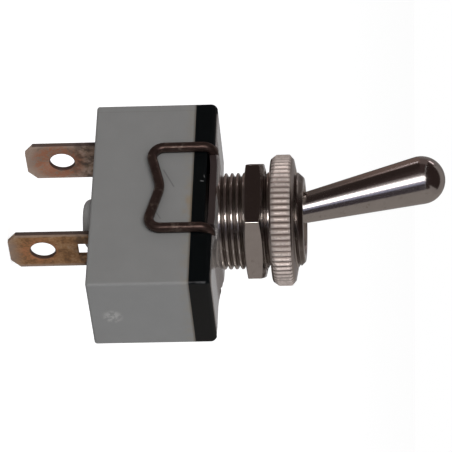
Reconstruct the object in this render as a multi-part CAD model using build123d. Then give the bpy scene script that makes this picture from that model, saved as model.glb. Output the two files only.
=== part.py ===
from build123d import *
import math
import os

# A panel toggle switch: one pole, two blades, a bat lever in a threaded bush.
# Millimetres. The origin is on the bush axis at the crown of the mounting plate,
# +Z runs out along the bush to the lever, +X along the long side of the body.

# Body
body_length = 28.4
body_depth = 12.0
housing_height = 12.52
housing_wall = 1.3
housing_floor = 2.0
edge_round = 0.35
fit_gap = 0.05
running_gap = 0.03

# Cover
cover_height = 2.7
rim_drop = 0.56
cover_edge_round = 0.8
cover_web = 1.4
lip_wall = 0.9
lip_depth = 1.0
rim_notch_gap = 0.1
rim_notch_drop = 0.2
lever_slot_half_length = 4.8
lever_slot_half_width = 2.6

# Mounting plate
plate_length = 27.4
plate_side_margin = 0.4
plate_wide_margin = 0.05
plate_wide_half = 5.3
plate_thickness = 1.2
plate_flat_half = 3.5
plate_ramp_length = 6.5
plate_ramp_drop = 0.6
plate_edge_round = 0.5
plate_corner_round = 1.2

# Threaded bush, M12 x 0.75
bush_radius = 5.97
bush_length = 10.25
bush_chamfer = 0.85
thread_pitch = 0.75
spigot_radius = 5.2
spun_flange_radius = 5.9
spun_flange_thickness = 0.45
bush_bore_radius = 3.8
bush_throat_radius = 2.7
bush_mouth_radius = 4.3

# Wire clips, one on each broad face
wire_radius = 0.62
wire_sink = 0.2
wire_left_x = -6.8
wire_right_x = 5.9
wire_top_bend = 1.3
wire_corner_bend = 1.5
wire_kink_bend = 3.5
wire_kink_x = -0.6
wire_leg_length = 7.9
wire_kink_length = 6.25
wire_hook_length = 2.1
wire_groove_gap = 0.06

# Nuts
hex_wall = 0.98
hex_thickness = 2.37
hex_seat = 3.05
hex_corner_angle = -51.2
hex_chamfer_share = 0.98
hex_chamfer_angle = 16.0
nut_mouth_chamfer = 0.3
ring_wall = 2.105
ring_thickness = 3.0
ring_seat = 6.2
ring_bevel_width = 0.55
ring_bevel_height = 0.5
ring_face_fall = 0.22
ring_face_width = 0.5
knurl_count = 66
knurl_depth = 0.3
knurl_crest_share = 0.4

# Lever
pivot_height = 3.5
lever_tilt = 15.7
ball_radius = 3.65
ball_gap = 0.1
neck_radius = 1.65
lever_mouth_radius = 1.9
lever_mouth_distance = 7.06
lever_tip_radius = 3.0
lever_tip_distance = 21.92
stem_radius = 2.1
stem_length = 7.5
stem_bore_radius = 1.35
stem_bore_end = 1.5
pin_radius = 0.75
pin_length = 9.2
pin_end_gap = 0.15

# Plunger and its spring
plunger_length = 5.9
plunger_reach = 11.4
plunger_tip_radius = 1.0
plunger_spigot_radius = 0.6
plunger_spigot_length = 1.4
spring_wire_radius = 0.17
spring_coil_radius = 0.95
spring_turns = 5

# Rocker, whose shape follows the plunger's path
fulcrum_height = -9.6
rocker_tilt = 7.0
rocker_width = 5.0
rocker_thickness = 0.8
rocker_clearance = 0.1
saddle_half = 3.8
rocker_contact_arm = 8.6
rocker_contact_end = 1.4
rocker_tail = 6.6
trunnion_radius = 0.6
trunnion_reach = 3.6
ear_thickness = 0.6
ear_half_width = 1.0

# Contacts
contact_radius = 1.4
fixed_contact_height = 1.0
moving_contact_height = 0.8
moving_contact_head_radius = 1.0
contact_dome_radius = 4.0
contact_clearance = 0.08
contact_shank_radius = 0.6

# Blades
blade_width = 6.3
blade_thickness = 0.5
blade_bend = 0.3
blade_hole_radius = 1.55
blade_tip_chamfer_width = 1.35
blade_tip_chamfer_length = 1.1
common_x = 3.75
common_blade_length = 10.57
common_hole_from_tip = 4.2
common_slot_width = 2.2
common_slot_from_tip = 8.6
common_slot_length = 3.2
common_foot_end = -3.0
fixed_x = -10.45
fixed_blade_length = 9.37
fixed_hole_from_tip = 4.55
fixed_foot_end = -4.7

# Rivets and the bracket that carries the rocker
rivet_radius = 0.8
rivet_head_radius = 1.2
rivet_head_height = 0.55
common_rivet_x = 0.0
fixed_rivet_x = -5.95
bracket_thickness = 0.6
bracket_half_length = 1.6
bracket_cheek_gap = 0.4
bracket_cheek_rise = 1.0

# Moulded details of the housing
boss_radius = 3.15
boss_height = 1.4
boss_edge_round = 1.0
rib_x = -3.95
rib_thickness = 0.8
rib_height = 1.2
stop_length = 1.4
stop_gap = 0.1

# Fibre shield under the cover
shield_thickness = 0.4
shield_gap = 0.1

# Levels and half sizes worked out from the values above
half_length = body_length / 2
half_depth = body_depth / 2
cover_top = -rim_drop
cover_bottom = cover_top - cover_height
housing_bottom = cover_bottom - housing_height
floor_top = housing_bottom + housing_floor
inner_half_length = half_length - housing_wall
inner_half_depth = half_depth - housing_wall
recess_floor = cover_bottom + cover_web
plate_width = body_depth - 2 * plate_side_margin
plate_wide_width = body_depth - 2 * plate_wide_margin
ramp_radius = ((plate_ramp_length / 2) ** 2 + (plate_ramp_drop / 2) ** 2) / plate_ramp_drop
notch_half = (wire_right_x - wire_left_x) / 2
plate_side_sag = (notch_half - plate_flat_half) ** 2 / 2 / ramp_radius
notch_floor = -plate_thickness - plate_side_sag - rim_notch_drop
flange_sag = (spun_flange_radius - plate_flat_half) ** 2 / 2 / ramp_radius
flange_top = -plate_thickness - flange_sag
flange_bottom = flange_top - spun_flange_thickness
foot_top = floor_top + blade_thickness
terminal_joint_z = (housing_bottom + floor_top) / 2
wire_z = notch_floor + wire_radius + fit_gap
wire_y = half_depth + wire_radius - wire_sink
nut_bore_radius = bush_radius + fit_gap
hex_across_flats = 2 * (nut_bore_radius + hex_wall)
ring_outer_radius = nut_bore_radius + ring_wall
rocker_rest = math.radians(rocker_tilt)
lever_rest = math.radians(lever_tilt)
lever_place = Pos(0, 0, pivot_height) * Rot(0, -lever_tilt, 0)
rocker_place = Pos(0, 0, fulcrum_height) * Rot(0, rocker_tilt, 0)


def block(x0, x1, y0, y1, z0, z1):
    """A box between two corners."""
    centre = Pos((x0 + x1) / 2, (y0 + y1) / 2, (z0 + z1) / 2)
    return centre * Box(x1 - x0, y1 - y0, z1 - z0)


def post(x, y, z0, z1, radius):
    """An upright cylinder from z0 to z1."""
    return Pos(x, y, (z0 + z1) / 2) * Cylinder(radius, z1 - z0)


def turned(outline):
    """A solid of revolution about Z from (radius, height) corners."""
    face = make_face(Polyline(*outline, close=True))
    return revolve(Plane.XZ * face, Axis.Z)


def bent_strip(points, bend, width_direction, width, thickness):
    """Sheet strip whose middle follows the points, with round bends."""
    path = FilletPolyline(*points, radius=bend + thickness / 2)
    section = Plane(path @ 0, x_dir=width_direction, z_dir=path % 0)
    return sweep(section * Rectangle(width, thickness), path=path)


def clip_path():
    """The front clip's centre line: a hook over the rim, down the face, the kink, and back up."""
    leg_z = wire_z - wire_leg_length
    kink_z = wire_z - wire_kink_length
    hook_y = wire_hook_length - wire_y
    points = [
        (wire_right_x, hook_y, wire_z),
        (wire_right_x, -wire_y, wire_z),
        (wire_right_x, -wire_y, leg_z),
        (wire_kink_x, -wire_y, kink_z),
        (wire_left_x, -wire_y, leg_z),
        (wire_left_x, -wire_y, wire_z),
        (wire_left_x, hook_y, wire_z),
    ]
    bends = [wire_top_bend, wire_corner_bend, wire_kink_bend, wire_corner_bend, wire_top_bend]
    return FilletPolyline(*points, radius=bends)


def make_clip(radius):
    """The front clip as round wire of a given radius."""
    return wire_along(clip_path(), radius)


def both_faces(piece):
    """A piece of the front face, and the same piece turned half round on the back face."""
    return [piece, Rot(0, 0, 180) * piece]


def wire_along(path, radius):
    """Round wire of the given radius along a path."""
    return sweep(Plane(path @ 0, z_dir=path % 0) * Circle(radius), path=path)


def plate_profile(level):
    """Edges of the plate's long section at a level: flat ends, two S-shaped ramps, flat middle."""
    end = plate_length / 2
    outer = plate_flat_half + plate_ramp_length
    low = level - plate_ramp_drop
    left = Line((-end, low), (-outer, low))
    middle = Line((-plate_flat_half, level), (plate_flat_half, level))
    right = Line((outer, low), (end, low))
    edges = [left, middle, right]
    for side in (-1, 1):
        bottom = (side * outer, low)
        half_way = (side * (outer - plate_ramp_length / 2), level - plate_ramp_drop / 2)
        top = (side * plate_flat_half, level)
        edges.append(TangentArc(bottom, half_way, tangent=(-side, 0)))
        edges.append(TangentArc(top, half_way, tangent=(side, 0)))
    return edges


def rolled_slab(outline):
    """Plate stock cut to an outline: the same S-shaped profile above and below, top edge rounded."""
    end = plate_length / 2
    low = -plate_ramp_drop
    ends = [Line((side * end, low), (side * end, low - plate_thickness)) for side in (-1, 1)]
    face = make_face(plate_profile(0) + plate_profile(-plate_thickness) + ends)
    slab = extrude(Plane.XZ * face, plate_wide_width / 2, both=True)
    slab &= extrude(outline, 2 * (plate_thickness + plate_ramp_drop), both=True)
    upper = [edge for face in slab.faces() if face.normal_at().Z > 0.5 for edge in face.edges()]
    rim = [edge for edge in upper if upper.count(edge) == 1]
    return fillet(rim, plate_edge_round)


def make_housing():
    shell = block(-half_length, half_length, -half_depth, half_depth, housing_bottom, cover_bottom)
    outside = shell.edges().filter_by(Axis.Z) + shell.edges().group_by(Axis.Z)[0]
    shell = fillet(outside, edge_round)
    room = block(-inner_half_length, inner_half_length, -inner_half_depth, inner_half_depth,
                 floor_top, cover_bottom + fit_gap)
    shell -= room
    boss = post(common_rivet_x, 0, housing_bottom - boss_height, housing_bottom, boss_radius)
    shell += fillet(boss.edges().group_by(Axis.Z)[0], boss_edge_round)
    rib_half = rib_thickness / 2
    shell += block(rib_x - rib_half, rib_x + rib_half, -inner_half_depth, inner_half_depth,
                   floor_top, floor_top + rib_height)
    shell += make_stop()
    for groove in both_faces(make_clip(wire_radius + wire_groove_gap)):
        shell -= groove
    slot_half = blade_thickness / 2 + fit_gap
    slot_reach = blade_width / 2 + fit_gap
    for x in (common_x, fixed_x):
        shell -= block(x - slot_half, x + slot_half, -slot_reach, slot_reach,
                       housing_bottom - fit_gap, floor_top + fit_gap)
        # The slot's inner mouth is widened on the foot's side to clear the bend
        side = math.copysign(1, common_rivet_x - x)
        mouth = x + side * (slot_half + blade_bend)
        shell -= block(min(x, mouth), max(x, mouth), -slot_reach, slot_reach,
                       floor_top - blade_bend - fit_gap, floor_top)
    below = housing_bottom - boss_height
    hole_radius = rivet_radius + fit_gap
    head_room = rivet_head_radius + fit_gap
    shell -= post(common_rivet_x, 0, below, floor_top, hole_radius)
    shell -= post(common_rivet_x, 0, below, below + rivet_head_height, head_room)
    shell -= post(fixed_rivet_x, 0, housing_bottom, floor_top, hole_radius)
    shell -= post(fixed_rivet_x, 0, housing_bottom, housing_bottom + rivet_head_height, head_room)
    contact_x = contact_place()
    shank_room = contact_shank_radius + fit_gap
    shell -= post(contact_x, 0, floor_top - rivet_head_height, floor_top, shank_room + fit_gap)
    return shell


def make_stop():
    """The block on the floor that the tail of the rocker comes down on."""
    tail_x = rocker_tail * math.cos(rocker_rest)
    tail_drop = rocker_tail * math.sin(rocker_rest)
    tail_under = rocker_arm_under() * math.cos(rocker_rest)
    top = fulcrum_height - tail_drop + tail_under - stop_gap
    return block(tail_x - stop_length, tail_x, -rocker_width / 2, rocker_width / 2, floor_top, top)


def make_cover():
    body = block(-half_length, half_length, -half_depth, half_depth, cover_bottom, cover_top)
    body = fillet(body.edges().filter_by(Axis.Z), edge_round)
    body = fillet(body.edges().group_by(Axis.Z)[-1], cover_edge_round)
    lip_x = inner_half_length - fit_gap
    lip_y = inner_half_depth - fit_gap
    lip_low = cover_bottom - lip_depth
    lip = block(-lip_x, lip_x, -lip_y, lip_y, lip_low, cover_bottom)
    lip -= block(-lip_x + lip_wall, lip_x - lip_wall, -lip_y + lip_wall, lip_y - lip_wall,
                 lip_low, cover_bottom)
    body += lip
    recess_x = plate_length / 2 + fit_gap
    recess_y = plate_width / 2 + fit_gap
    body -= block(-recess_x, recess_x, -recess_y, recess_y, recess_floor, 0)
    notch_side = wire_radius + rim_notch_gap
    opening = block(wire_left_x - notch_side, wire_right_x + notch_side, -half_depth, 0, notch_floor, 0)
    for cut in both_faces(opening):
        body -= cut
    body -= lever_slot(cover_bottom - lip_depth, 0)
    body -= post(0, 0, flange_bottom - fit_gap, 0, spun_flange_radius + fit_gap)
    for groove in both_faces(make_clip(wire_radius + wire_groove_gap)):
        body -= groove
    return body


def lever_slot(low, high):
    """The long hole that the lever's stem swings in."""
    hole = SlotOverall(2 * lever_slot_half_length, 2 * lever_slot_half_width)
    return Pos(0, 0, low) * extrude(hole, high - low)


def make_plate():
    plate = rolled_slab(RectangleRounded(plate_length, plate_width, plate_corner_round))
    plate += rolled_slab(Rectangle(2 * plate_wide_half, plate_wide_width))
    plate -= Cylinder(spigot_radius + fit_gap, 4 * plate_thickness)
    room = wire_radius + wire_groove_gap
    hook_end = wire_hook_length - wire_y + wire_groove_gap
    for x in (wire_left_x, wire_right_x):
        for notch in both_faces(block(x - room, x + room, -half_depth, hook_end, cover_bottom, 0)):
            plate -= notch
    return plate


def make_bush():
    socket_radius = ball_radius + ball_gap
    throat_rise = math.sqrt(socket_radius**2 - bush_throat_radius**2)
    throat_z = pivot_height + throat_rise
    outline = [
        (bush_throat_radius, flange_bottom),
        (spun_flange_radius, flange_bottom),
        (spun_flange_radius, flange_top),
        (spigot_radius, flange_top),
        (spigot_radius, 0),
        (bush_radius - thread_pitch / 2, 0),
        (bush_radius, thread_pitch / 2),
        (bush_radius, bush_length - bush_chamfer),
        (bush_radius - bush_chamfer, bush_length),
        (bush_mouth_radius, bush_length),
        (bush_throat_radius, throat_z),
    ]
    bush = turned(outline)
    bush -= Pos(0, 0, pivot_height) * Sphere(socket_radius)
    bush -= post(0, 0, flange_bottom, pivot_height, bush_bore_radius)
    groove_half = pin_radius + running_gap
    groove_reach = pin_length / 2 + pin_end_gap
    bush -= block(-groove_half, groove_half, -groove_reach, groove_reach, flange_bottom, pivot_height)
    bush -= Pos(0, 0, pivot_height) * Rot(90, 0, 0) * Cylinder(groove_half, 2 * groove_reach)
    return bush


def nut_bore(low, high):
    """The bore of a nut with a small chamfer at each mouth."""
    mouth = nut_bore_radius + nut_mouth_chamfer
    return turned([
        (0, low),
        (mouth, low),
        (nut_bore_radius, low + nut_mouth_chamfer),
        (nut_bore_radius, high - nut_mouth_chamfer),
        (mouth, high),
        (0, high),
    ])


def make_hex_nut():
    top = hex_seat + hex_thickness
    blank = RegularPolygon(hex_across_flats / 2, 6, major_radius=False)
    nut = Pos(0, 0, hex_seat) * extrude(blank, hex_thickness)
    # A corner of the blank sits at 30 degrees before it is turned
    nut = Rot(0, 0, hex_corner_angle - 30) * nut
    across_corners = hex_across_flats / math.cos(math.radians(30))
    outer = across_corners / 2 + fit_gap
    chamfer_radius = hex_across_flats / 2 * hex_chamfer_share
    rise = (outer - chamfer_radius) * math.tan(math.radians(hex_chamfer_angle))
    nut &= turned([
        (0, hex_seat),
        (chamfer_radius, hex_seat),
        (outer, hex_seat + rise),
        (outer, top - rise),
        (chamfer_radius, top),
        (0, top),
    ])
    return nut - nut_bore(hex_seat, top)


def make_ring_nut():
    root_radius = ring_outer_radius - knurl_depth
    pitch = 2 * math.pi / knurl_count
    crest = pitch * knurl_crest_share / 2
    points = []
    for tooth in range(knurl_count):
        middle = tooth * pitch
        for angle, radius in (
            (middle - crest, ring_outer_radius),
            (middle + crest, ring_outer_radius),
            (middle + pitch / 2, root_radius),
        ):
            points.append((radius * math.cos(angle), radius * math.sin(angle)))
    top = ring_seat + ring_thickness
    nut = Pos(0, 0, ring_seat) * extrude(make_face(Polyline(*points, close=True)), ring_thickness)
    outer = ring_outer_radius + fit_gap
    shoulder = outer - ring_bevel_width
    face_edge = nut_bore_radius + ring_face_width
    front_bevel = top - ring_face_fall
    nut &= turned([
        (0, ring_seat),
        (shoulder, ring_seat),
        (outer, ring_seat + ring_bevel_height),
        (outer, front_bevel - ring_bevel_height),
        (shoulder, front_bevel),
        (face_edge, top),
        (0, top),
    ])
    return nut - nut_bore(ring_seat, top)


def make_lever():
    """Ball, neck, tapered bat with a round end, and the hollow stem below."""
    taper = math.asin((lever_tip_radius - lever_mouth_radius) / (lever_tip_distance - lever_mouth_distance))
    tangent_s = lever_tip_distance - lever_tip_radius * math.sin(taper)
    tangent_r = lever_tip_radius * math.cos(taper)
    tip_end = lever_tip_distance + lever_tip_radius
    half_way = (math.pi / 2 + taper) / 2 - taper
    shoulder_r = lever_tip_radius * math.cos(half_way)
    shoulder_s = lever_tip_distance + lever_tip_radius * math.sin(half_way)
    side = Polyline(
        (0, 0),
        (neck_radius, 0),
        (neck_radius, ball_radius),
        (lever_mouth_radius, lever_mouth_distance),
        (tangent_r, tangent_s),
    )
    round_end = ThreePointArc((tangent_r, tangent_s), (shoulder_r, shoulder_s), (0, tip_end))
    bat = revolve(Plane.XZ * make_face([side, round_end, Line((0, tip_end), (0, 0))]), Axis.Z)
    lever = bat + Sphere(ball_radius)
    lever += post(0, 0, -stem_length, 0, stem_radius)
    lever -= post(0, 0, -stem_length, -stem_bore_end, stem_bore_radius)
    lever -= Rot(90, 0, 0) * Cylinder(pin_radius + running_gap, 2 * ball_radius + fit_gap)
    return lever_place * lever


def make_pin():
    return Pos(0, 0, pivot_height) * Rot(90, 0, 0) * Cylinder(pin_radius, pin_length)


def make_plunger():
    radius = stem_bore_radius - fit_gap
    shoulder = plunger_length - plunger_reach
    tip_centre = plunger_tip_radius - plunger_reach
    cone_top = tip_centre + 2 * (radius - plunger_tip_radius)
    body = turned([
        (0, tip_centre),
        (plunger_tip_radius, tip_centre),
        (radius, cone_top),
        (radius, shoulder),
        (plunger_spigot_radius, shoulder),
        (plunger_spigot_radius, shoulder + plunger_spigot_length),
        (0, shoulder + plunger_spigot_length),
    ])
    return lever_place * (body + Pos(0, 0, tip_centre) * Sphere(plunger_tip_radius))


def make_spring():
    low = plunger_length - plunger_reach + spring_wire_radius + running_gap
    high = -stem_bore_end - spring_wire_radius - running_gap
    pitch = (high - low) / spring_turns
    coil = Pos(0, 0, low) * Helix(pitch, high - low, spring_coil_radius)
    start = Plane(coil @ 0, z_dir=coil % 0)
    wire = sweep(start * Circle(spring_wire_radius), path=coil, is_frenet=True)
    return lever_place * wire


def plunger_path_end():
    """Centre of the plunger's round tip at rest, in the rocker's own frame."""
    reach = plunger_reach - plunger_tip_radius
    x = reach * math.sin(lever_rest)
    z = pivot_height - reach * math.cos(lever_rest) - fulcrum_height
    along = x * math.cos(rocker_rest) - z * math.sin(rocker_rest)
    above = x * math.sin(rocker_rest) + z * math.cos(rocker_rest)
    return along, above


def saddle_arc():
    """Height of the saddle's centre and the radius of its top, below the tip's path."""
    along, above = plunger_path_end()
    middle = pivot_height - plunger_reach + plunger_tip_radius - fulcrum_height
    rise = above - middle
    path_radius = (along**2 + rise**2) / 2 / rise
    return middle + path_radius, path_radius + plunger_tip_radius + rocker_clearance


def rocker_arm_under():
    """Height of the arm's underside in the rocker's frame, set by the closed contacts."""
    contact_top = foot_top + fixed_contact_height + contact_clearance
    drop = rocker_contact_arm * math.sin(rocker_rest)
    dome = contact_dome_radius * (1 - math.cos(rocker_rest))
    face = (contact_top - fulcrum_height + drop + dome) / math.cos(rocker_rest)
    return face + moving_contact_height


def make_rocker():
    centre_z, top_radius = saddle_arc()
    under = rocker_arm_under()
    over = under + rocker_thickness
    half = rocker_width / 2
    leg_inner = saddle_half - rocker_thickness
    arms = block(-rocker_contact_arm - rocker_contact_end, -leg_inner, -half, half, under, over)
    arms += block(leg_inner, rocker_tail, -half, half, under, over)
    hump = block(-saddle_half, saddle_half, -half, half, under, centre_z)
    axis_turn = Pos(0, 0, centre_z) * Rot(90, 0, 0)
    hump -= axis_turn * Cylinder(top_radius, 2 * rocker_width)
    crown = axis_turn * Cylinder(top_radius + rocker_thickness, 2 * rocker_width)
    hollow = block(-leg_inner, leg_inner, -rocker_width, rocker_width, under, centre_z) - crown
    hump -= hollow
    rocker = arms + hump
    for side in (-1, 1):
        outer = side * half
        inner = side * (half - ear_thickness)
        ear = block(-ear_half_width, ear_half_width, min(outer, inner), max(outer, inner),
                    -trunnion_radius, centre_z - top_radius - rocker_thickness / 2)
        middle_y = side * (trunnion_reach + half - ear_thickness) / 2
        reach = trunnion_reach - half + ear_thickness
        rocker += ear
        rocker += Pos(0, middle_y, 0) * Rot(90, 0, 0) * Cylinder(trunnion_radius, reach)
    shank = post(-rocker_contact_arm, 0, under, over, contact_shank_radius)
    return rocker_place * (rocker - shank)


def make_moving_contact():
    """Domed button under the arm, its shank headed over on top."""
    under = rocker_arm_under()
    low = under - moving_contact_height
    button = post(-rocker_contact_arm, 0, low, under, contact_radius)
    dome = Pos(-rocker_contact_arm, 0, low + contact_dome_radius) * Sphere(contact_dome_radius)
    button &= dome
    shank_top = under + rocker_thickness
    button += post(-rocker_contact_arm, 0, under, shank_top, contact_shank_radius)
    head_top = shank_top + rivet_head_height / 2
    button += post(-rocker_contact_arm, 0, shank_top, head_top, moving_contact_head_radius)
    return rocker_place * button


def contact_place():
    """Where the moving contact's dome comes down when the switch is closed."""
    low = rocker_arm_under() - moving_contact_height + contact_dome_radius
    return -rocker_contact_arm * math.cos(rocker_rest) - low * math.sin(rocker_rest)


def make_fixed_contact():
    x = contact_place()
    button = post(x, 0, foot_top, foot_top + fixed_contact_height, contact_radius)
    button = chamfer(button.edges().group_by(Axis.Z)[-1], contact_clearance)
    shank_low = foot_top - blade_thickness - rivet_head_height
    return button + post(x, 0, shank_low, foot_top, contact_shank_radius)


def make_blade(x, foot_end, length, hole_from_tip, rivet_x):
    """A terminal: a foot along the floor, a bend, and the blade down to its tip."""
    middle = floor_top + blade_thickness / 2
    tip = housing_bottom - length
    points = [(foot_end, 0, middle), (x, 0, middle), (x, 0, tip)]
    blade = bent_strip(points, blade_bend, (0, 1, 0), blade_width, blade_thickness)
    half = blade_width / 2
    step = blade_tip_chamfer_width
    rise = blade_tip_chamfer_length
    for side in (-1, 1):
        corner = [(side * half, tip), (side * (half - step), tip), (side * half, tip + rise)]
        cut = extrude(Plane.YZ * make_face(Polyline(*corner, close=True)), blade_thickness, both=True)
        blade -= Pos(x, 0, 0) * cut
    hole = Pos(x, 0, tip + hole_from_tip) * Rot(0, 90, 0)
    blade -= hole * Cylinder(blade_hole_radius, 4 * blade_thickness)
    blade -= post(rivet_x, 0, floor_top, foot_top, rivet_radius + fit_gap)
    return blade


def make_common_terminal():
    blade = make_blade(common_x, common_foot_end, common_blade_length, common_hole_from_tip,
                       common_rivet_x)
    low = housing_bottom - common_blade_length + common_slot_from_tip
    half = common_slot_width / 2
    slot = block(common_x - blade_thickness, common_x + blade_thickness, -half, half,
                 low, low + common_slot_length)
    return blade - slot


def make_fixed_terminal():
    blade = make_blade(fixed_x, fixed_foot_end, fixed_blade_length, fixed_hole_from_tip,
                       fixed_rivet_x)
    return blade - post(contact_place(), 0, floor_top, foot_top, contact_shank_radius)


def split_terminal(terminal):
    """The foot with its bend, and the straight blade, which meet inside the floor's slot."""
    reach = body_length + max(common_blade_length, fixed_blade_length)
    below = block(-reach, reach, -body_depth, body_depth, housing_bottom - reach, terminal_joint_z)
    return terminal - below, terminal & below


def make_bracket():
    """A U of sheet whose cheeks carry the rocker's trunnions in open notches."""
    cheek_y = rocker_width / 2 + bracket_cheek_gap + bracket_thickness / 2
    base_z = foot_top + bracket_thickness / 2
    top = fulcrum_height + bracket_cheek_rise
    points = [(0, -cheek_y, top), (0, -cheek_y, base_z), (0, cheek_y, base_z), (0, cheek_y, top)]
    bracket = bent_strip(points, blade_bend, (1, 0, 0), 2 * bracket_half_length, bracket_thickness)
    notch = trunnion_radius + fit_gap
    bracket -= block(-notch, notch, -body_depth, body_depth, fulcrum_height, top)
    bracket -= Pos(0, 0, fulcrum_height) * Rot(90, 0, 0) * Cylinder(notch, body_depth)
    bracket -= post(common_rivet_x, 0, foot_top, foot_top + bracket_thickness, rivet_radius + fit_gap)
    return bracket


def make_rivet(x, low, high):
    """Shank between two flat heads."""
    rivet = post(x, 0, low, high, rivet_radius)
    rivet += post(x, 0, low, low + rivet_head_height, rivet_head_radius)
    head = post(x, 0, high - rivet_head_height, high, rivet_head_radius)
    return rivet + chamfer(head.edges().group_by(Axis.Z)[-1], rivet_head_height / 3)


def make_shield():
    half_x = inner_half_length - lip_wall - fit_gap - shield_gap
    half_y = inner_half_depth - lip_wall - fit_gap - shield_gap
    sheet = block(-half_x, half_x, -half_y, half_y, cover_bottom - shield_thickness, cover_bottom)
    return sheet - lever_slot(cover_bottom - shield_thickness, cover_bottom)


common_foot, common_blade = split_terminal(make_common_terminal())
fixed_foot, fixed_blade = split_terminal(make_fixed_terminal())

parts = {
    "housing": make_housing(),
    "insulating_cover": make_cover(),
    "mounting_plate": make_plate(),
    "threaded_bush": make_bush(),
    "front_clip": both_faces(make_clip(wire_radius))[0],
    "back_clip": both_faces(make_clip(wire_radius))[1],
    "hex_nut": make_hex_nut(),
    "knurled_nut": make_ring_nut(),
    "lever": make_lever(),
    "pivot_pin": make_pin(),
    "plunger": make_plunger(),
    "plunger_spring": make_spring(),
    "rocker_arm": make_rocker(),
    "moving_contact": make_moving_contact(),
    "fixed_contact": make_fixed_contact(),
    "common_foot": common_foot,
    "common_terminal": common_blade,
    "fixed_foot": fixed_foot,
    "fixed_terminal": fixed_blade,
    "fulcrum_bracket": make_bracket(),
    "common_rivet": make_rivet(
        common_rivet_x, housing_bottom - boss_height, foot_top + bracket_thickness + rivet_head_height
    ),
    "fixed_rivet": make_rivet(fixed_rivet_x, housing_bottom, foot_top + rivet_head_height),
    "insulating_shield": make_shield(),
}

os.makedirs("parts", exist_ok=True)
for name, shape in parts.items():
    export_step(shape, f"parts/{name}.step")
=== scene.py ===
import math

import bmesh
import bpy
import numpy as np
from mathutils import Matrix, Vector


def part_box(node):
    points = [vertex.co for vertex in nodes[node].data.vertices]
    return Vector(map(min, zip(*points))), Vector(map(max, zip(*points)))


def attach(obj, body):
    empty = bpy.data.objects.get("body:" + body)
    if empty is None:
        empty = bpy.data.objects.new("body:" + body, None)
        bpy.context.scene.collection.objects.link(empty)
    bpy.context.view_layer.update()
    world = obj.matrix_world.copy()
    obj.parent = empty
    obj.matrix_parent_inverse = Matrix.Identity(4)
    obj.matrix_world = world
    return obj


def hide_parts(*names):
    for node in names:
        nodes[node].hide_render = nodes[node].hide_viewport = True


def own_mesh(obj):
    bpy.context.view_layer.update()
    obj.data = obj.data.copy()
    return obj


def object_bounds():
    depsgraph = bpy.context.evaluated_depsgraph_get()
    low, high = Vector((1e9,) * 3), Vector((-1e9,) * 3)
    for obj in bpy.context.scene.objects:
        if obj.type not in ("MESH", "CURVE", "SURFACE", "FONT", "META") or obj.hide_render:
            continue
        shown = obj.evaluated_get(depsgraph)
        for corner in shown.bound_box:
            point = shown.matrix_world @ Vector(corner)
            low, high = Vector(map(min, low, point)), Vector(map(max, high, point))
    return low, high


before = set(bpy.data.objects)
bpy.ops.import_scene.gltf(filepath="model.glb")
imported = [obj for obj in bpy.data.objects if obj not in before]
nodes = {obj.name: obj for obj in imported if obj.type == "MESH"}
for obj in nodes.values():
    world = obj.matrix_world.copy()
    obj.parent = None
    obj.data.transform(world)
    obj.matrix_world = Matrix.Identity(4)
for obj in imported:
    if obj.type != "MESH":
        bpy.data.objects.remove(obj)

# A panel toggle switch: grey and black moulded body held by two wire clips, a nickel-plated
# bush with two nuts, a bat lever and two tarnished blades. Shapes below are worked out in
# millimetres and written to the meshes in metres.
MM = 0.001
cad_low, cad_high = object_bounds()


def box_mm(node):
    """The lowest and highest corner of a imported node, in millimetres."""
    low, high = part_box(node)
    return np.array(low) / MM, np.array(high) / MM


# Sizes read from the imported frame
housing_low, housing_high = box_mm("housing")
cover_low, cover_high = box_mm("insulating_cover")
bush_low, bush_high = box_mm("threaded_bush")
hex_low, hex_high = box_mm("hex_nut")
ring_low, ring_high = box_mm("knurled_nut")
clip_low, clip_high = box_mm("front_clip")
common_low, common_high = box_mm("common_terminal")
fixed_low, fixed_high = box_mm("fixed_terminal")
seam_z = housing_high[2]
body_half_length = housing_high[0]
body_half_depth = cover_high[1]
bush_radius = bush_high[0]

# Thread
thread_pitch = 0.75
thread_depth = 0.42
thread_crest_z = 0.59
thread_start = -0.3
thread_foot = -0.42
thread_crest_azimuth = math.radians(-141.3)
thread_crest_share = 0.24
thread_flank_share = 0.66
thread_rounding = 0.06
thread_run_in = 0.25
bush_chamfer = 0.85
bush_chamfer_slope = 0.95
mouth_radius = 4.3
throat_radius = 2.7
throat_z = 6.1
socket_radius = 3.75
bore_radius = 3.8
spigot_radius = 5.2
flange_radius = 5.9
flange_top = bush_low[2] + 0.45

# Nuts
nut_bore = 6.02
nut_mouth = 0.3
hex_flat_radius = 7.0
hex_front_radius = 6.5
hex_front_angle = math.radians(14.4)
hex_back_radius = 6.6
hex_back_angle = math.radians(10.2)
hex_corner_azimuth = math.radians(-49.6)
knurl_count = 66
knurl_crest_share = 0.16
knurl_root_share = 0.1
knurl_depth = 0.32
ring_bevel_width = 0.5
ring_back_bevel = 0.74
ring_front_bevel = 0.5
ring_face_fall = 0.22
ring_face_width = 0.5
ring_bevel_end = 0.06
ring_edge_round = 0.1
ring_crest_room = 0.02

# Lever, along its own axis from the pivot
pivot_z = 3.5
lever_tilt = math.radians(15.7)
ball_radius = 3.65
neck_radius = 1.65
mouth_neck_radius = 1.9
mouth_neck_at = 7.06
tip_radius = 3.0
tip_at = 21.92
stem_radius = 2.1
stem_length = 7.5
stem_top = -3.2
stem_bore_radius = 1.3
stem_bore_depth = 1.0
neck_top = 4.2

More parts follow.
